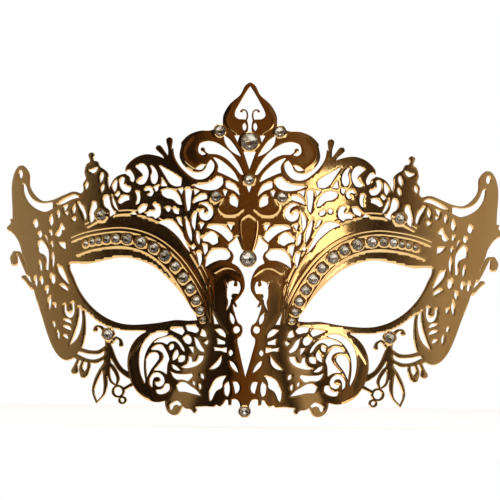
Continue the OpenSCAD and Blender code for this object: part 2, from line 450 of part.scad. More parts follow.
// ---------------------------------------------------------------- formed surface
// Solid whose front is the front of the plate, set back by d.
module form(d) {
  low = -reach / 2;
  drop = ridge_top - low;
  translate([0, axis_y, 0]) cylinder(r = wrap_radius - d, h = reach, center = true, $fn = 200);
  translate([0, ridge_radius - plate_thickness, low])
    cylinder(r1 = ridge_radius + ridge_slope * drop - d, r2 = ridge_radius - d, h = drop, $fn = 120);
  translate([0, root_radius - plate_thickness, low])
    cylinder(r1 = root_radius + root_slope * drop - d, r2 = root_radius - d, h = drop, $fn = 160);
}
// Formed sheet with the stone seats and the ribbon eyelets sunk in it.
module shell() {
  difference() {
    form(0);
    form(plate_thickness);
    for (s = all_stones) on_plate(s[0], s[1]) translate([0, 0, -seat_depth])
      cylinder(r = s[2] + stone_clearance, h = 4 * s[2], $fn = round_sides);
    for (side = [-1, 1]) on_plate(side * eyelet_x * sx, eyelet_z * sz)
      cylinder(r = eyelet_radius, h = 4 * plate_thickness, center = true, $fn = round_sides);
  }
}
// Depth of the front of the plate at x, z.
function wrap_y(x) = axis_y - sqrt(wrap_radius * wrap_radius - x * x);
function cone_y(x, z, r0, k) =
  let (r = r0 + k * max(ridge_top - z, 0))
  abs(x) < r ? r0 - plate_thickness - sqrt(r * r - x * x) : reach;
function ridge_y(x, z) = cone_y(x, z, ridge_radius, ridge_slope);
function root_y(x, z) = cone_y(x, z, root_radius, root_slope);
// Turn of the surface normal about Z, and its lean upward.
function yaw_at(x, z) =
  let (w = wrap_y(x), a = z < ridge_top ? ridge_y(x, z) : reach,
       b = z < ridge_top ? root_y(x, z) : reach)
  a < min(w, b) ? asin(x / (ridge_radius + ridge_slope * (ridge_top - z)))
  : b < w ? asin(x / (root_radius + root_slope * (ridge_top - z)))
  : asin(x / wrap_radius);
function lean_at(x, z) =
  let (w = wrap_y(x), a = z < ridge_top ? ridge_y(x, z) : reach,
       b = z < ridge_top ? root_y(x, z) : reach)
  a < min(w, b) ? atan(ridge_slope) : b < w ? atan(root_slope) : 0;
function front_y(x, z) =
  z < ridge_top ? min(wrap_y(x), ridge_y(x, z), root_y(x, z)) : wrap_y(x);
// Places children on the front of the plate, their +Z along the outward normal.
module on_plate(x, z) {
  translate([x, front_y(x, z), z]) rotate([0, 0, yaw_at(x, z)])
    rotate([90 - lean_at(x, z), 0, 0]) children();
}

// ---------------------------------------------------------------- pieces
function placed(s, side) = [side * s[0] * sx, s[1] * sz, s[2] * stone_scale];
function centred(s) = [0, s[0] * sz, s[1] * stone_scale];
all_stones = concat(
  [for (s = brow_stones, side = [-1, 1]) placed(s, side)],
  [for (s = [crown_side, fleur_side, temple, cheek], side = [-1, 1]) placed(s, side)],
  [for (s = [crown_large, fleur_small, pendant, nose_tip]) centred(s)]);

module stone(s) {
  r = s[2];
  girdle = seat_depth + 0.12 * r;
  color("white") on_plate(s[0], s[1]) translate([0, 0, -seat_depth]) {
    cylinder(r = r, h = girdle, $fn = stone_sides);
    translate([0, 0, girdle]) cylinder(r1 = r, r2 = 0.8 * r, h = 0.25 * r, $fn = stone_sides);
    translate([0, 0, girdle + 0.25 * r])
      cylinder(r1 = 0.8 * r, r2 = 0.5 * r, h = 0.15 * r, $fn = stone_sides);
  }
}
module mask_plate() {
  color("gold") difference() {
    intersection() {
      shell();
      through() silhouette();
    }
    openings();
  }
}
module brow_stone_left_01() { stone(placed(brow_stones[0], -1)); }
module brow_stone_left_02() { stone(placed(brow_stones[1], -1)); }
module brow_stone_left_03() { stone(placed(brow_stones[2], -1)); }
module brow_stone_left_04() { stone(placed(brow_stones[3], -1)); }
module brow_stone_left_05() { stone(placed(brow_stones[4], -1)); }
module brow_stone_left_06() { stone(placed(brow_stones[5], -1)); }
module brow_stone_left_07() { stone(placed(brow_stones[6], -1)); }
module brow_stone_left_08() { stone(placed(brow_stones[7], -1)); }
module brow_stone_left_09() { stone(placed(brow_stones[8], -1)); }
module brow_stone_left_10() { stone(placed(brow_stones[9], -1)); }
module brow_stone_left_11() { stone(placed(brow_stones[10], -1)); }
module brow_stone_left_12() { stone(placed(brow_stones[11], -1)); }
module brow_stone_left_13() { stone(placed(brow_stones[12], -1)); }
module brow_stone_left_14() { stone(placed(brow_stones[13], -1)); }
module brow_stone_left_15() { stone(placed(brow_stones[14], -1)); }
module brow_stone_right_01() { stone(placed(brow_stones[0], 1)); }
module brow_stone_right_02() { stone(placed(brow_stones[1], 1)); }
module brow_stone_right_03() { stone(placed(brow_stones[2], 1)); }
module brow_stone_right_04() { stone(placed(brow_stones[3], 1)); }
module brow_stone_right_05() { stone(placed(brow_stones[4], 1)); }
module brow_stone_right_06() { stone(placed(brow_stones[5], 1)); }
module brow_stone_right_07() { stone(placed(brow_stones[6], 1)); }
module brow_stone_right_08() { stone(placed(brow_stones[7], 1)); }
module brow_stone_right_09() { stone(placed(brow_stones[8], 1)); }
module brow_stone_right_10() { stone(placed(brow_stones[9], 1)); }
module brow_stone_right_11() { stone(placed(brow_stones[10], 1)); }
module brow_stone_right_12() { stone(placed(brow_stones[11], 1)); }
module brow_stone_right_13() { stone(placed(brow_stones[12], 1)); }
module brow_stone_right_14() { stone(placed(brow_stones[13], 1)); }
module brow_stone_right_15() { stone(placed(brow_stones[14], 1)); }
module crown_stone_left() { stone(placed(crown_side, -1)); }
module crown_stone_right() { stone(placed(crown_side, 1)); }
module fleur_stone_left() { stone(placed(fleur_side, -1)); }
module fleur_stone_right() { stone(placed(fleur_side, 1)); }
module temple_stone_left() { stone(placed(temple, -1)); }
module temple_stone_right() { stone(placed(temple, 1)); }
module cheek_stone_left() { stone(placed(cheek, -1)); }
module cheek_stone_right() { stone(placed(cheek, 1)); }
module crown_stone_large() { stone(centred(crown_large)); }
module fleur_stone_small() { stone(centred(fleur_small)); }
module pendant_stone() { stone(centred(pendant)); }
module nose_stone() { stone(centred(nose_tip)); }

mask_plate();
brow_stone_left_01();
brow_stone_left_02();
brow_stone_left_03();
brow_stone_left_04();
brow_stone_left_05();
brow_stone_left_06();
brow_stone_left_07();
brow_stone_left_08();
brow_stone_left_09();
brow_stone_left_10();
brow_stone_left_11();
brow_stone_left_12();
brow_stone_left_13();
brow_stone_left_14();
brow_stone_left_15();
brow_stone_right_01();
brow_stone_right_02();
brow_stone_right_03();
brow_stone_right_04();
brow_stone_right_05();
brow_stone_right_06();
brow_stone_right_07();
brow_stone_right_08();
brow_stone_right_09();
brow_stone_right_10();
brow_stone_right_11();
brow_stone_right_12();
brow_stone_right_13();
brow_stone_right_14();
brow_stone_right_15();
crown_stone_left();
crown_stone_right();
fleur_stone_left();
fleur_stone_right();
temple_stone_left();
temple_stone_right();
cheek_stone_left();
cheek_stone_right();
crown_stone_large();
fleur_stone_small();
pendant_stone();
nose_stone();
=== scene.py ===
import math

import bpy
import numpy as np
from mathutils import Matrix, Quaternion, Vector, geometry
from mathutils.kdtree import KDTree


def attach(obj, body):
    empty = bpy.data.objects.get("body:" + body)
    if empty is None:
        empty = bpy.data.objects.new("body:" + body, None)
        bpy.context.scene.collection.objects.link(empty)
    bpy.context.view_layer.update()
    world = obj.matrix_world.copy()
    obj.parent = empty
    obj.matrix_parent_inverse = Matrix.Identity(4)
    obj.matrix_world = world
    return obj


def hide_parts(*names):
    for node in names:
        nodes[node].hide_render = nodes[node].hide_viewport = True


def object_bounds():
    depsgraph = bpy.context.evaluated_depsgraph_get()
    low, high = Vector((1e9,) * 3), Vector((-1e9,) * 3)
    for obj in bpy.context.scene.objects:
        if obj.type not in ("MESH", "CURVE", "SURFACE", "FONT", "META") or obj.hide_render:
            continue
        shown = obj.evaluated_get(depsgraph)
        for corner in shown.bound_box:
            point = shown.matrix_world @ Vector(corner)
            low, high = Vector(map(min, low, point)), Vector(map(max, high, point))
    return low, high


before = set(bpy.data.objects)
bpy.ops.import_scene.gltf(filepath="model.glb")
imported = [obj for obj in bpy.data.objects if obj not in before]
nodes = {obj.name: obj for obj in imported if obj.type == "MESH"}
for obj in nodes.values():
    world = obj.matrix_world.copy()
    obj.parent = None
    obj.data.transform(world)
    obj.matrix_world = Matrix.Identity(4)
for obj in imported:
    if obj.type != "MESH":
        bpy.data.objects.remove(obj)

cad_lo, cad_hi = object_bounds()
MM = 0.001

# ------------------------------------------------------------------ form of the sheet, in mm
SHEET = 0.9
WRAP = 110.0
RIDGE = (18.0, 0.285)  # radius at the top of the ridge, and how fast it grows downward
ROOT = (44.0, 0.145)
RIDGE_TOP = 10.0
BLEND = 2.4  # how softly the cheeks run into the nose


def wrap_y(x):
    return WRAP - SHEET - np.sqrt(WRAP**2 - np.clip(x, -WRAP, WRAP) ** 2)


def cone_y(x, z, cone, above):
    drop = RIDGE_TOP - z
    r = cone[0] + cone[1] * (drop if above else np.maximum(drop, 0))
    r = np.maximum(r, 1.0)
    inside = np.abs(x) < r
    y = cone[0] - SHEET - np.sqrt(np.maximum(r * r - x * x, 0))
    return np.where(inside, y, 1e3 if not above else y + 4 * (np.abs(x) - r))


def sharp_y(x, z):
    """Front of the CAD sheet, with its creases."""
    y = np.minimum(cone_y(x, z, RIDGE, False), cone_y(x, z, ROOT, False))
    return np.minimum(wrap_y(x), np.where(z < RIDGE_TOP, y, 1e3))


def soft_min(a, b):
    h = np.clip(0.5 + 0.5 * (b - a) / BLEND, 0, 1)
    return b + (a - b) * h - BLEND * h * (1 - h)


def soft_y(x, z):
    """The same front with the creases eased."""
    y = soft_min(wrap_y(x), cone_y(x, z, ROOT, True))
    return soft_min(y, cone_y(x, z, RIDGE, True))


def soft_normal(x, z):
    e = 0.05
    gx = (soft_y(x + e, z) - soft_y(x - e, z)) / (2 * e)
    gz = (soft_y(x, z + e) - soft_y(x, z - e)) / (2 * e)
    n = np.stack([gx, -np.ones_like(gx), gz], axis=-1)
    return n / np.linalg.norm(n, axis=-1, keepdims=True)


def flat_u(x):
    return WRAP * np.arcsin(np.clip(x / WRAP, -1, 1))


def round_x(u):
    return WRAP * np.sin(u / WRAP)


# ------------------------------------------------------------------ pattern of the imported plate
def merged_mesh(obj):
    me = obj.data
    co = np.empty(len(me.vertices) * 3)
    me.vertices.foreach_get("co", co)
    co = co.reshape(-1, 3) / MM
    me.calc_loop_triangles()
    tri = np.empty(len(me.loop_triangles) * 3, np.int32)
    me.loop_triangles.foreach_get("vertices", tri)
    _, first, inverse = np.unique(
        np.round(co, 3), axis=0, return_index=True, return_inverse=True
    )
    inverse = np.asarray(inverse).reshape(-1)
    return co[first], inverse[tri].reshape(-1, 3)


def boundary_loops(co, tri):
    """Edges of the front skin, followed into closed loops of (x, z)."""
    on = np.abs(co[:, 1] - sharp_y(co[:, 0], co[:, 2])) < 0.03
    front = tri[on[tri].all(axis=1)]
    front = front[
        (front[:, 0] != front[:, 1])
        & (front[:, 1] != front[:, 2])
        & (front[:, 2] != front[:, 0])
    ]
    directed = set()
    for a, b, c in front.tolist():
        directed.update(((a, b), (b, c), (c, a)))
    after = {}
    for a, b in sorted(directed):
        if (b, a) not in directed:
            after.setdefault(a, []).append(b)
    loops = []
    while after:
        start = min(after)
        loop, here = [], start
        while here in after:
            loop.append(here)
            nxt = after[here].pop()
            if not after[here]:
                del after[here]
            here = nxt
        if len(loop) > 2:
            loops.append(co[loop][:, [0, 2]])
    return loops


def loop_area(p):
    q = np.roll(p, -1, axis=0)
    return 0.5 * float(np.sum(p[:, 0] * q[:, 1] - q[:, 0] * p[:, 1]))


def turns(p):
    a = p - np.roll(p, 1, axis=0)
    b = np.roll(p, -1, axis=0) - p
    cross = a[:, 0] * b[:, 1] - a[:, 1] * b[:, 0]
    return np.degrees(np.arctan2(cross, np.sum(a * b, axis=1)))


def straightened(p):
    """Drops the points that the mesher put along straight walls."""
    while len(p) > 4:
        seg = np.linalg.norm(p - np.roll(p, 1, axis=0), axis=1)
        dead = (np.abs(turns(p)) < 1.2) | (seg < 0.02)
        if not dead.any():
            break
        keep = np.ones(len(p), bool)
        i = 0
        while i < len(p):
            if dead[i]:
                keep[i] = False
                i += 1
            i += 1
        if keep.sum() < 4:
            break
        p = p[keep]
    return p


CORNER = 66.0


def smooth_loop(p, step):
    """A curve through the loop's points, with its sharp tips kept."""
    n = len(p)
    corner = np.abs(turns(p)) > CORNER
    out = []
    for i in range(n):
        p1, p2 = p[i], p[(i + 1) % n]
        p0 = p[i - 1] if not corner[i] else 2 * p1 - p2
        p3 = p[(i + 2) % n] if not corner[(i + 1) % n] else 2 * p2 - p1
        d0, d1, d2 = (
            max(np.linalg.norm(b - a), 1e-4) ** 0.5
            for a, b in ((p0, p1), (p1, p2), (p2, p3))
        )
        m1 = (p1 - p0) / d0 - (p2 - p0) / (d0 + d1) + (p2 - p1) / d1
        m2 = (p2 - p1) / d1 - (p3 - p1) / (d1 + d2) + (p3 - p2) / d2
        m1, m2 = m1 * d1, m2 * d1
        count = max(1, int(math.ceil(np.linalg.norm(p2 - p1) / step)))
        for k in range(count):
            t = k / count
            out.append(
                (2 * t**3 - 3 * t**2 + 1) * p1
                + (t**3 - 2 * t**2 + t) * m1
                + (-2 * t**3 + 3 * t**2) * p2
                + (t**3 - t**2) * m2
            )
    return np.array(out)


# ------------------------------------------------------------------ relief of the sheet, in mm
def smooth_line(points, step=0.4):
    p = np.array(points, float)
    out = []
    for i in range(len(p) - 1):
        p1, p2 = p[i], p[i + 1]
        p0 = p[i - 1] if i else 2 * p1 - p2
        p3 = p[i + 2] if i + 2 < len(p) else 2 * p2 - p1
        count = max(2, int(np.linalg.norm(p2 - p1) / step))
        for k in range(count):
            t = k / count
            out.append(
                0.5
                * (
                    2 * p1
                    + (p2 - p0) * t
                    + (2 * p0 - 5 * p1 + 4 * p2 - p3) * t * t
                    + (3 * p1 - p0 - 3 * p2 + p3) * t**3
                )
            )
    out.append(p[-1])
    return np.array(out)


def shifted(line, d):
    t = np.gradient(line, axis=0)
    t /= np.maximum(np.linalg.norm(t, axis=1, keepdims=True), 1e-9)
    return line + d * np.stack([-t[:, 1], t[:, 0]], axis=1)


BROW_TOP = [
    (61.2, 24.3), (55.1, 27.6), (48.4, 29.2), (41.2, 28.9), (33.9, 26.1), (27.2, 20.7),
    (21.8, 14.0), (17.5, 6.1), (15.1, -1.8), (14.5, -9.6),
]
BROW_ROW = [
    (66.5, 17.2), (62.6, 18.7), (57.6, 19.9), (50.9, 20.8), (46.5, 20.7), (41.1, 19.6),
    (36.1, 17.5), (31.9, 14.6), (27.8, 10.6), (24.6, 6.4), (21.9, 2.2), (19.6, -2.2),
    (18.1, -6.0), (16.9, -9.4),
]
# Each line: its points, half width and height.
LINES = [
    (BROW_TOP, -1.0, 0.34, 0.17),
    (BROW_TOP, -2.5, 0.29, 0.13),
    (BROW_ROW, 2.8, 0.29, 0.15),
    (BROW_ROW, -2.8, 0.29, 0.15),
    (BROW_ROW, -4.3, 0.26, 0.10),
    ([(40.4, -18.0), (44.5, -24.6), (44.5, -27.8), (43.0, -34.0), (39.8, -37.8), (36.7, -39.4)],
     0.0, 0.36, 0.17),
    ([(14.2, 6.4), (14.9, 2.2), (13.2, -4.5), (9.0, -11.8), (7.2, -14.6)], 0.0, 0.36, 0.18),
    ([(12.5, 8.5), (9.0, 10.3), (5.5, 9.9), (2.0, 7.1)], 0.0, 0.32, 0.15),
    ([(22.3, 59.0), (24.9, 55.0), (24.4, 50.9), (20.8, 47.8)], 0.0, 0.40, 0.20),
    ([(7.1, 70.2), (8.8, 66.7), (8.1, 63.6), (5.0, 61.3)], 0.0, 0.40, 0.20),
    ([(9.9, 36.6), (11.4, 33.1), (9.1, 30.5), (5.0, 30.5), (2.5, 32.3)], 0.0, 0.36, 0.18),
    ([(0.4, 30.5), (3.0, 28.0), (2.7, 21.9), (1.0, 15.3)], 0.0, 0.32, 0.15),
]


def relief_lines():
    out = []
    for points, offset, width, height in LINES:
        line = shifted(smooth_line(points), offset) if offset else smooth_line(points)
        for side in (-1, 1):
            out.append((line * [side, 1], width, height))
    return out


def tree_of(points):
    tree = KDTree(len(points))
    for i, p in enumerate(points):
        tree.insert((p[0], p[1], 0), i)
    tree.balance()
    return tree


def seats_of(nodes):
    """Foot middle, radius, height and outward direction of each stone, in mm."""
    out = {}
    for name, obj in nodes.items():
        if name == "mask_plate":
            continue
        co = np.array([v.co for v in obj.data.vertices]) / MM
        n = soft_normal(np.array([co[:, 0].mean()]), np.array([co[:, 2].mean()]))[0]
        depth = co @ n
        base = co[depth < depth.min() + 0.25 * (depth.max() - depth.min())]
        mid = (base.min(0) + base.max(0)) / 2
        r = float(np.max(np.linalg.norm((base - mid) - np.outer((base - mid) @ n, n), axis=1)))
        tall = float(depth.max() - depth.min())
        out[name] = (mid, r, tall, n)
    return out


# ------------------------------------------------------------------ the sheet, in mm
EDGE_DROP = 0.06  # how far the rim of the sheet is rounded over
EDGE_IN = 0.13  # how wide that rounding is
SEAT_DEPTH = 0.36  # floor of a stone seat, below the front
BACK = 0.86  # thickness to the smooth back, just inside the CAD sheet
RIM_STEP = 0.55  # spacing of the points round an opening
GRID_STEP = 0.95  # spacing of the points between them
BEZEL_RISE, BEZEL_OUT, BEZEL_WIDTH = 0.2, 0.22, 0.17
SEAT_WALL = 0.14
SMALLEST_OPENING = 0.15  # square mm
SHARP_ANGLE = 42


def build_plate(node, stones):
    co, tri = merged_mesh(node)
    loops = boundary_loops(co, tri)
    spots = np.array([[m[0], m[2], r] for m, r, _, _ in stones.values()])
    kept = []
    for p in loops:
        mid = (p.min(0) + p.max(0)) / 2
        gap = np.hypot(spots[:, 0] - mid[0], spots[:, 1] - mid[1])
        size = (p.max(0) - p.min(0)).max() / 2
        near = int(gap.argmin())
        if gap[near] < 0.5 and abs(size - spots[near, 2]) < 0.35:
            continue
        p = straightened(p)
        if abs(loop_area(p)) > SMALLEST_OPENING:
            kept.append(p)
    verts, edges, companions = [], [], []
    biggest = max(range(len(kept)), key=lambda i: abs(loop_area(kept[i])))
    for i, p in enumerate(kept):
        q = smooth_loop(p, RIM_STEP)
        start = len(verts)
        verts += q.tolist()
        n = len(q)
        edges += [(start + k, start + (k + 1) % n) for k in range(n)]
        tangent = np.roll(q, -1, axis=0) - np.roll(q, 1, axis=0)
        tangent /= np.maximum(np.linalg.norm(tangent, axis=1, keepdims=True), 1e-9)
        left = np.stack([-tangent[:, 1], tangent[:, 0]], axis=1)
        sign = 1 if loop_area(q) > 0 else -1
        into = left * sign * (1 if i == biggest else -1)
        companions.append(q + EDGE_IN * into)
    rim = np.array(verts)
    rim_tree = tree_of(rim)
    lines = relief_lines()

    def clear(points, gap):
        return [p for p in points if rim_tree.find((p[0], p[1], 0))[2] >= gap]

    companion = clear(np.vstack(companions), EDGE_IN * 0.86)
    layers = []
    for line, width, height in lines:
        for off in (0, -0.8, 0.8, -1.7, 1.7):
            layers.append(shifted(line, off * width))
    rings = []
    for x, z, r in spots:
        for ring in (0.5 * r, r + 0.02, r + 0.16, r + 0.34, r + 0.56):
            count = max(10, int(2 * math.pi * ring / 0.4))
            a = np.arange(count) * 2 * math.pi / count
            rings.append(np.stack([x + ring * np.cos(a), z + ring * np.sin(a)], axis=1))
        rings.append(np.array([[x, z]]))
    chosen = list(companion)

    def add(points, rim_gap, own_gap):
        points = clear(points, rim_gap)
        tree = tree_of(chosen)
        chosen.extend(p for p in points if tree.find((p[0], p[1], 0))[2] >= own_gap)

    add(np.vstack(rings), 0.2, 0.1)
    add(np.vstack(layers), 0.3, 0.17)
    xs = np.arange(-96, 96, GRID_STEP)
    zs = np.arange(-47, 82, GRID_STEP * 0.866)
    grid = np.array(
        [(x + (0.5 * GRID_STEP if k % 2 else 0), z) for k, z in enumerate(zs) for x in xs]
    )
    add(grid, 0.5, 0.5)
    every = np.vstack([rim, np.array(chosen)])
    flat = [Vector((float(flat_u(p[0])), float(p[1]))) for p in every]
    corners = [Vector(c) for c in ((-120, -60), (120, -60), (120, 95), (-120, 95))]
    out = geometry.delaunay_2d_cdt(flat + corners, edges, [], 0, 1e-5)
    pts = np.array([(v.x, v.y) for v in out[0]])
    rim_edges = {tuple(sorted(e)) for e, orig in zip(out[1], out[4]) if len(orig)}
    faces = [tuple(f) for f in out[2]]
    owners = {}
    for i, f in enumerate(faces):
        for a, b in zip(f, f[1:] + f[:1]):
            owners.setdefault((a, b) if a < b else (b, a), []).append(i)
    state = {}
    first = next(own[0] for e, own in sorted(owners.items()) if len(own) == 1)
    state[first] = False
    queue = [first]
    while queue:
        i = queue.pop()
        f = faces[i]
        for a, b in zip(f, f[1:] + f[:1]):
            key = (a, b) if a < b else (b, a)
            for j in owners[key]:
                if j not in state:
                    state[j] = state[i] != (key in rim_edges)
                    queue.append(j)
    solid = [faces[i] for i in range(len(faces)) if state.get(i)]
    used = sorted({v for f in solid for v in f})
    index = {v: k for k, v in enumerate(used)}
    solid = [tuple(index[v] for v in f) for f in solid]
    pts = pts[used]
    x, z = round_x(pts[:, 0]), pts[:, 1]
    # heights
    gap = np.array([rim_tree.find((a, b, 0))[2] for a, b in zip(x, z)])
    h = np.zeros(len(x))
    for line, width, height in lines:
        tree = tree_of(line)
        lo, hi = line.min(0) - 2, line.max(0) + 2
        near = np.nonzero((x > lo[0]) & (x < hi[0]) & (z > lo[1]) & (z < hi[1]))[0]
        for k in near:
            d = tree.find((x[k], z[k], 0))[2] / width
            if d < 3:
                h[k] = max(h[k], height * math.exp(-d * d))
    back = h.copy()
    for sx, sz, r in spots:
        d = np.hypot(x - sx, z - sz) - r
        near = d < 0.62
        bezel = BEZEL_RISE * np.exp(-(((d - BEZEL_OUT) / BEZEL_WIDTH) ** 2))
        t = np.clip(d / SEAT_WALL, 0, 1)
        sunk = -SEAT_DEPTH * (1 - t * t * (3 - 2 * t))
        h[near] = (h + bezel + sunk)[near]
        back[near] *= np.clip(d[near] / 0.6, 0, 1)
    edge = np.clip(gap / EDGE_IN, 0, 1)
    fade = edge * edge * (3 - 2 * edge)
    h = h * np.clip(gap / 0.5, 0, 1) - EDGE_DROP * (1 - fade)
    back = back * np.clip(gap / 0.5, 0, 1) * 0.9
    n = soft_normal(x, z)
    base = np.stack([x, soft_y(x, z), z], axis=1)
    top = base + n * h[:, None]
    low = base - n * (BACK - back - 0.1 * (1 - fade))[:, None]
    count = len(base)
    all_v = np.clip(np.vstack([top, low]) * MM, np.array(cad_lo), np.array(cad_hi))
    # faces wind so that the front looks toward -Y
    ring = {}
    skin = []
    for a, b, c in solid:
        u1, u2, u3 = pts[a], pts[b], pts[c]
        if (u2[0] - u1[0]) * (u3[1] - u1[1]) - (u3[0] - u1[0]) * (u2[1] - u1[1]) < 0:
            b, c = c, b
        skin.append((a, b, c))
        for e in ((a, b), (b, c), (c, a)):
            ring[e] = True
    under = [(c + count, b + count, a + count) for a, b, c in skin]
    wall = []
    for a, b in ring:
        if (b, a) not in ring:
            wall.append((b, a, a + count, b + count))
    me = bpy.data.meshes.new("filigree_plate")
    me.from_pydata([tuple(v) for v in all_v], [], skin + under + wall)
    me.update()
    me.shade_smooth()
    me.set_sharp_from_angle(angle=math.radians(SHARP_ANGLE))
    obj = bpy.data.objects.new("filigree_plate", me)
    bpy.context.scene.collection.objects.link(obj)
    return obj


# ------------------------------------------------------------------ cut stones
def build_stone(name, spot):
    """A round cut stone on its foil, standing in its seat."""
    mid, r, tall, n = spot
    n = Vector(n).normalized()
    x, z = float(mid[0]), float(mid[2])
    foot = Vector((x, float(soft_y(np.array([x]), np.array([z]))[0]), z)) - n * SEAT_DEPTH
    side = n.orthogonal().normalized()
    up = n.cross(side)
    r *= 0.985

    def ring(radius, height, count, turn):
        out = []
        for k in range(count):
            a = 2 * math.pi * (k + turn) / count
            out.append(foot + n * height + (side * math.cos(a) + up * math.sin(a)) * radius)
        return out

    girdle_low, girdle_top = 0.10 * tall, 0.42 * tall
    verts, faces = [], []

    def put(points):
        start = len(verts)
        verts.extend(points)
        return list(range(start, start + len(points)))

    base = put(ring(r, girdle_low, 16, 0))
    girdle = put(ring(r, girdle_top, 16, 0))
    star = put(ring(r * 0.76, girdle_top + 0.34 * tall, 8, 0.5))
    table = put(ring(r * 0.54, 0.985 * tall, 8, 0))
    for k in range(16):
        m = (k + 1) % 16
        faces.append((base[k], base[m], girdle[m], girdle[k]))
    for k in range(8):
        g0, g1, g2 = girdle[2 * k], girdle[2 * k + 1], girdle[(2 * k + 2) % 16]
        t0, t1 = table[k], table[(k + 1) % 8]
        s0, s1 = star[k], star[(k - 1) % 8]
        faces.append((g0, g1, s0))
        faces.append((g1, g2, s0))
        faces.append((t0, s1, g0, s0))
        faces.append((t0, s0, t1))
    faces.append(tuple(table))
    glass = len(faces)
    # the foil under the glass, folded into eight bright and eight dull folds
    centre = put([foot + n * 0.02 * tall])[0]
    fold = put(ring(r * 0.55, girdle_low + 0.05 * tall, 16, 0.5))
    rim = put(ring(r * 0.97, girdle_low + 0.02, 16, 0))
    for k in range(16):
        m = (k + 1) % 16
        faces.append((centre, fold[k], fold[m]))
        faces.append((fold[k], rim[m], fold[m]))
        faces.append((fold[k], rim[k], rim[m]))
    under = put(ring(r * 0.97, girdle_low + 0.015, 16, 0))
    low = put([foot])[0]
    for k in range(16):
        m = (k + 1) % 16
        faces.append((low, under[m], under[k]))
    me = bpy.data.meshes.new(name)
    inside = np.clip(np.array([tuple(v * MM) for v in verts]), np.array(cad_lo), np.array(cad_hi))
    me.from_pydata(inside.tolist(), [], faces)
    me.update()
    me.materials.append(CRYSTAL)
    me.materials.append(FOIL)
    for i, p in enumerate(me.polygons):
        p.material_index = 0 if i < glass else 1
        p.use_smooth = False
    obj = bpy.data.objects.new(name, me)
    bpy.context.scene.collection.objects.link(obj)
    return obj


# ------------------------------------------------------------------ materials
class Nodes:
    def __init__(self, name):
        self.mat = bpy.data.materials.new(name)
        self.mat.use_nodes = True
        self.tree = self.mat.node_tree
        self.shader = self.tree.nodes["Principled BSDF"]
        self.coord = self.tree.nodes.new("ShaderNodeTexCoord").outputs["Object"]

    def add(self, kind, **sockets):
        node = self.tree.nodes.new("ShaderNode" + kind)
        for key, value in sockets.items():
            if hasattr(node, key) and key not in node.inputs:
                setattr(node, key, value)
            elif hasattr(value, "is_linked") or hasattr(value, "links"):
                self.tree.links.new(value, node.inputs[key])
            else:
                node.inputs[key].default_value = value
        return node

    def link(self, a, b):
        self.tree.links.new(a, b)

    def noise(self, scale, detail=3.0, rough=0.5, stretch=None):
        where = self.coord
        if stretch:
            m = self.tree.nodes.new("ShaderNodeMapping")
            m.inputs["Scale"].default_value = stretch
            self.link(self.coord, m.inputs["Vector"])
            where = m.outputs["Vector"]
        n = self.tree.nodes.new("ShaderNodeTexNoise")
        n.inputs["Scale"].default_value = scale
        n.inputs["Detail"].default_value = detail
        n.inputs["Roughness"].default_value = rough
        self.link(where, n.inputs["Vector"])
        return n.outputs["Fac"]

    def ramp(self, fac, stops):
        n = self.tree.nodes.new("ShaderNodeValToRGB")
        e = n.color_ramp.elements
        while len(e) < len(stops):
            e.new(0.5)
        for el, (pos, col) in zip(e, stops):
            el.position = pos
            el.color = (*col, 1) if len(col) == 3 else col
        self.link(fac, n.inputs["Fac"])
        return n.outputs["Color"]

    def spread(self, fac, low, high, a=0.3, b=0.7):
        n = self.tree.nodes.new("ShaderNodeMapRange")
        n.inputs["From Min"].default_value = a
        n.inputs["From Max"].default_value = b
        n.inputs["To Min"].default_value = low
        n.inputs["To Max"].default_value = high
        self.link(fac, n.inputs["Value"])
        return n.outputs["Result"]

    def bump(self, fac, strength, distance):
        n = self.tree.nodes.new("ShaderNodeBump")
        n.inputs["Strength"].default_value = strength
        n.inputs["Distance"].default_value = distance
        self.link(fac, n.inputs["Height"])
        self.link(n.outputs["Normal"], self.shader.inputs["Normal"])


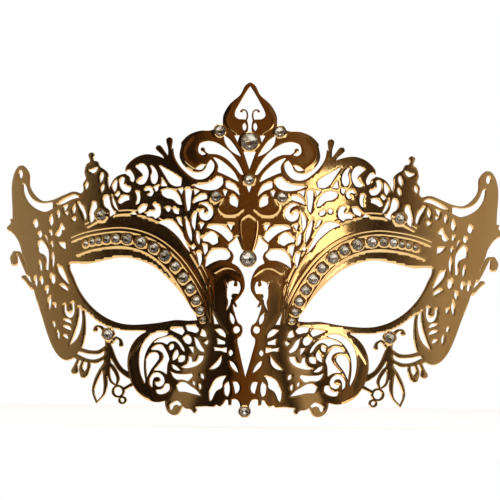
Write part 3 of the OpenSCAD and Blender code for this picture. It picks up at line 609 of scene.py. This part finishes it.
def gilt():
    m = Nodes("gilt_metal")
    cloud = m.noise(38.0, 4.0, 0.55)
    fine = m.noise(900.0, 2.0, 0.6)
    wave = m.noise(26.0, 1.0, 0.3)
    gold = [(0.28, (0.76, 0.47, 0.17)), (0.52, (0.86, 0.57, 0.24)), (0.76, (0.92, 0.65, 0.31))]
    tone = m.ramp(cloud, gold)
    m.link(tone, m.shader.inputs["Base Color"])
    m.shader.inputs["Metallic"].default_value = 1.0
    m.link(m.spread(fine, 0.06, 0.14), m.shader.inputs["Roughness"])
    # Only the shading is dished: the crown leans back and the cheeks flare, by up to about
    # fifteen degrees, which turns what they mirror.
    xyz = m.tree.nodes.new("ShaderNodeSeparateXYZ")
    m.link(m.coord, xyz.inputs[0])
    crown = m.spread(xyz.outputs["Z"], 0.0, 1.0, 0.044, 0.080)
    cheek = m.spread(xyz.outputs["Z"], 1.0, 0.0, -0.046, -0.006)
    across = m.add("Math", operation="ABSOLUTE")
    m.link(xyz.outputs["X"], across.inputs[0])
    outer = m.spread(across.outputs[0], 0.0, 5.5, 0.010, 0.040)
    dish = m.add("Math", operation="MULTIPLY_ADD")
    cheek_curve = m.add("Math", operation="POWER")
    m.link(cheek, cheek_curve.inputs[0])
    cheek_curve.inputs[1].default_value = 1.5
    m.link(cheek_curve.outputs[0], dish.inputs[0])
    crown_curve = m.add("Math", operation="POWER")
    m.link(crown, crown_curve.inputs[0])
    crown_curve.inputs[1].default_value = 1.5
    crown_down = m.add("Math", operation="MULTIPLY")
    m.link(crown_curve.outputs[0], crown_down.inputs[0])
    crown_down.inputs[1].default_value = -4.5
    m.link(crown_down.outputs[0], dish.inputs[2])
    m.link(outer, dish.inputs[1])
    both = m.add("Math", operation="ADD")
    m.link(dish.outputs[0], both.inputs[0])
    m.link(m.spread(wave, 0.0, 0.42, 0.0, 1.0), both.inputs[1])
    m.bump(both.outputs[0], 1.0, 0.001)
    return m.mat


def crystal():
    m = Nodes("crystal")
    tint = m.ramp(m.noise(260.0, 1.0), [(0.35, (1.0, 1.0, 1.0)), (0.7, (0.97, 0.95, 0.90))])
    m.link(tint, m.shader.inputs["Base Color"])
    m.shader.inputs["Transmission Weight"].default_value = 1.0
    m.shader.inputs["IOR"].default_value = 1.58
    m.link(m.spread(m.noise(700.0), 0.0, 0.05), m.shader.inputs["Roughness"])
    return m.mat


def foil():
    m = Nodes("stone_foil")
    silver = [(0.36, (0.34, 0.30, 0.22)), (0.5, (0.70, 0.66, 0.56)), (0.62, (0.97, 0.95, 0.90))]
    tone = m.ramp(m.noise(420.0, 1.0), silver)
    m.link(tone, m.shader.inputs["Base Color"])
    m.shader.inputs["Metallic"].default_value = 1.0
    m.link(m.spread(m.noise(800.0), 0.08, 0.22), m.shader.inputs["Roughness"])
    return m.mat


def pale_floor():
    m = Nodes("pale_floor")
    tone = m.ramp(m.noise(3.0, 2.0), [(0.3, (0.90, 0.90, 0.90)), (0.7, (0.93, 0.93, 0.925))])
    m.link(tone, m.shader.inputs["Base Color"])
    m.shader.inputs["Roughness"].default_value = 0.9
    m.link(tone, m.shader.inputs["Emission Color"])
    m.shader.inputs["Emission Strength"].default_value = 0.66
    return m.mat


GILT = gilt()
CRYSTAL = crystal()
FOIL = foil()
FLOOR = pale_floor()

# ------------------------------------------------------------------ the object
stones = seats_of(nodes)
plate = build_plate(nodes["mask_plate"], stones)
plate.data.materials.append(GILT)
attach(plate, "root")
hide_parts("mask_plate")
for name in sorted(stones):
    stone = build_stone("cut_" + name, stones[name])
    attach(stone, "root")
    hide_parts(name)
for obj in nodes.values():
    obj.data.materials.clear()
    obj.data.materials.append(GILT if obj.name == "mask_plate" else CRYSTAL)

# ------------------------------------------------------------------ studio
lowest = cad_lo.z
bpy.ops.mesh.primitive_circle_add(
    vertices=96, radius=0.7, fill_type="NGON", location=(0, 0, lowest - 0.004)
)
floor = bpy.context.object
floor.name = "studio_floor"
floor.data.materials.append(FLOOR)


def panel(name, azimuth, elevation, distance, width, height, power, colour=(1, 1, 1)):
    light = bpy.data.lights.new(name, "AREA")
    light.shape = "RECTANGLE"
    light.size, light.size_y = width, height
    light.energy = power
    light.color = colour
    obj = bpy.data.objects.new(name, light)
    a, e = math.radians(azimuth), math.radians(elevation)
    away = Vector((math.sin(a) * math.cos(e), -math.cos(a) * math.cos(e), math.sin(e)))
    obj.location = away * distance + Vector((0, 0, 0.02))
    obj.rotation_mode = "QUATERNION"
    obj.rotation_quaternion = away.to_track_quat("Z", "Y")
    bpy.context.scene.collection.objects.link(obj)
    return obj


# Panels round the mask: angle to the right of straight ahead, angle up, distance, size, power.
panel("key_right", 30, 1, 1.4, 0.40, 0.34, 0.85, (1.0, 0.95, 0.90))
panel("top", 0, 80, 1.5, 1.0, 1.0, 8)


# What the metal mirrors, all round: angle to the right of straight ahead, and colour.
AROUND = [
    (-180, 0.17, 0.15, 0.13), (-125, 0.32, 0.28, 0.23), (-80, 0.20, 0.165, 0.125),
    (-62, 0.03, 0.02, 0.015), (-26, 0.012, 0.009, 0.007), (-16, 0.11, 0.048, 0.015),
    (12, 0.13, 0.060, 0.018), (22, 0.17, 0.11, 0.065), (42, 0.085, 0.06, 0.04),
    (51, 0.03, 0.022, 0.016), (62, 0.10, 0.07, 0.05), (80, 0.36, 0.30, 0.24),
    (125, 0.38, 0.33, 0.27), (180, 0.17, 0.15, 0.13),
]
CEILING = (0.30, 0.28, 0.255, 1)


def studio_world():
    world = bpy.data.worlds.new("studio")
    bpy.context.scene.world = world
    world.use_nodes = True
    t = world.node_tree
    t.nodes.clear()
    out = t.nodes.new("ShaderNodeOutputWorld")
    mix = t.nodes.new("ShaderNodeMixShader")
    path = t.nodes.new("ShaderNodeLightPath")
    shown, seen = t.nodes.new("ShaderNodeBackground"), t.nodes.new("ShaderNodeBackground")
    coord = t.nodes.new("ShaderNodeTexCoord")
    split = t.nodes.new("ShaderNodeSeparateXYZ")
    t.links.new(coord.outputs["Generated"], split.inputs[0])
    flip = t.nodes.new("ShaderNodeMath")
    flip.operation = "MULTIPLY"
    flip.inputs[1].default_value = -1.0
    t.links.new(split.outputs["Y"], flip.inputs[0])
    turn = t.nodes.new("ShaderNodeMath")
    turn.operation = "ARCTAN2"
    t.links.new(split.outputs["X"], turn.inputs[0])
    t.links.new(flip.outputs[0], turn.inputs[1])
    span = t.nodes.new("ShaderNodeMapRange")
    span.inputs["From Min"].default_value = -math.pi
    span.inputs["From Max"].default_value = math.pi
    t.links.new(turn.outputs[0], span.inputs["Value"])
    ramp = t.nodes.new("ShaderNodeValToRGB")
    e = ramp.color_ramp.elements
    while len(e) < len(AROUND):
        e.new(0.5)
    for el, (deg, r, g, b) in zip(e, AROUND):
        el.position = (deg + 180) / 360
        el.color = (r, g, b, 1)
    t.links.new(span.outputs["Result"], ramp.inputs["Fac"])
    lift = t.nodes.new("ShaderNodeMapRange")
    lift.interpolation_type = "SMOOTHSTEP"
    lift.inputs["From Min"].default_value = 0.62
    lift.inputs["From Max"].default_value = 0.9
    t.links.new(split.outputs["Z"], lift.inputs["Value"])
    ceiling = t.nodes.new("ShaderNodeMix")
    ceiling.data_type = "RGBA"
    t.links.new(lift.outputs["Result"], ceiling.inputs["Factor"])
    t.links.new(ramp.outputs["Color"], ceiling.inputs[6])
    ceiling.inputs[7].default_value = CEILING
    t.links.new(ceiling.outputs[2], seen.inputs["Color"])
    seen.inputs["Strength"].default_value = 1.0
    shown.inputs["Color"].default_value = (1, 1, 1, 1)
    shown.inputs["Strength"].default_value = 1.0
    t.links.new(path.outputs["Is Camera Ray"], mix.inputs[0])
    t.links.new(seen.outputs[0], mix.inputs[1])
    t.links.new(shown.outputs[0], mix.inputs[2])
    t.links.new(mix.outputs[0], out.inputs[0])


studio_world()
bpy.context.scene.view_settings.view_transform = "Standard"

# ------------------------------------------------------------------ camera
PIXEL = 0.3762 * MM  # size of a pixel of a 500 wide picture, at the object
AWAY = 5.0
yaw, roll = math.radians(2.5), math.radians(0.72)
back = Vector((math.sin(yaw), -math.cos(yaw), 0))
aim = Vector((0.0006, 0, 0.0171))
cam_data = bpy.data.cameras.new("camera")
cam = bpy.data.objects.new("camera", cam_data)
bpy.context.scene.collection.objects.link(cam)
bpy.context.scene.camera = cam
cam_data.sensor_width = 36.0
cam_data.lens = 36.0 * AWAY / (500 * PIXEL)
cam.location = aim + back * AWAY
cam.rotation_mode = "QUATERNION"
cam.rotation_quaternion = (-back).to_track_quat("-Z", "Y")
cam.rotation_quaternion = cam.rotation_quaternion @ Quaternion((0, 0, 1), roll)
cam_data.clip_start, cam_data.clip_end = 0.05, 60.0
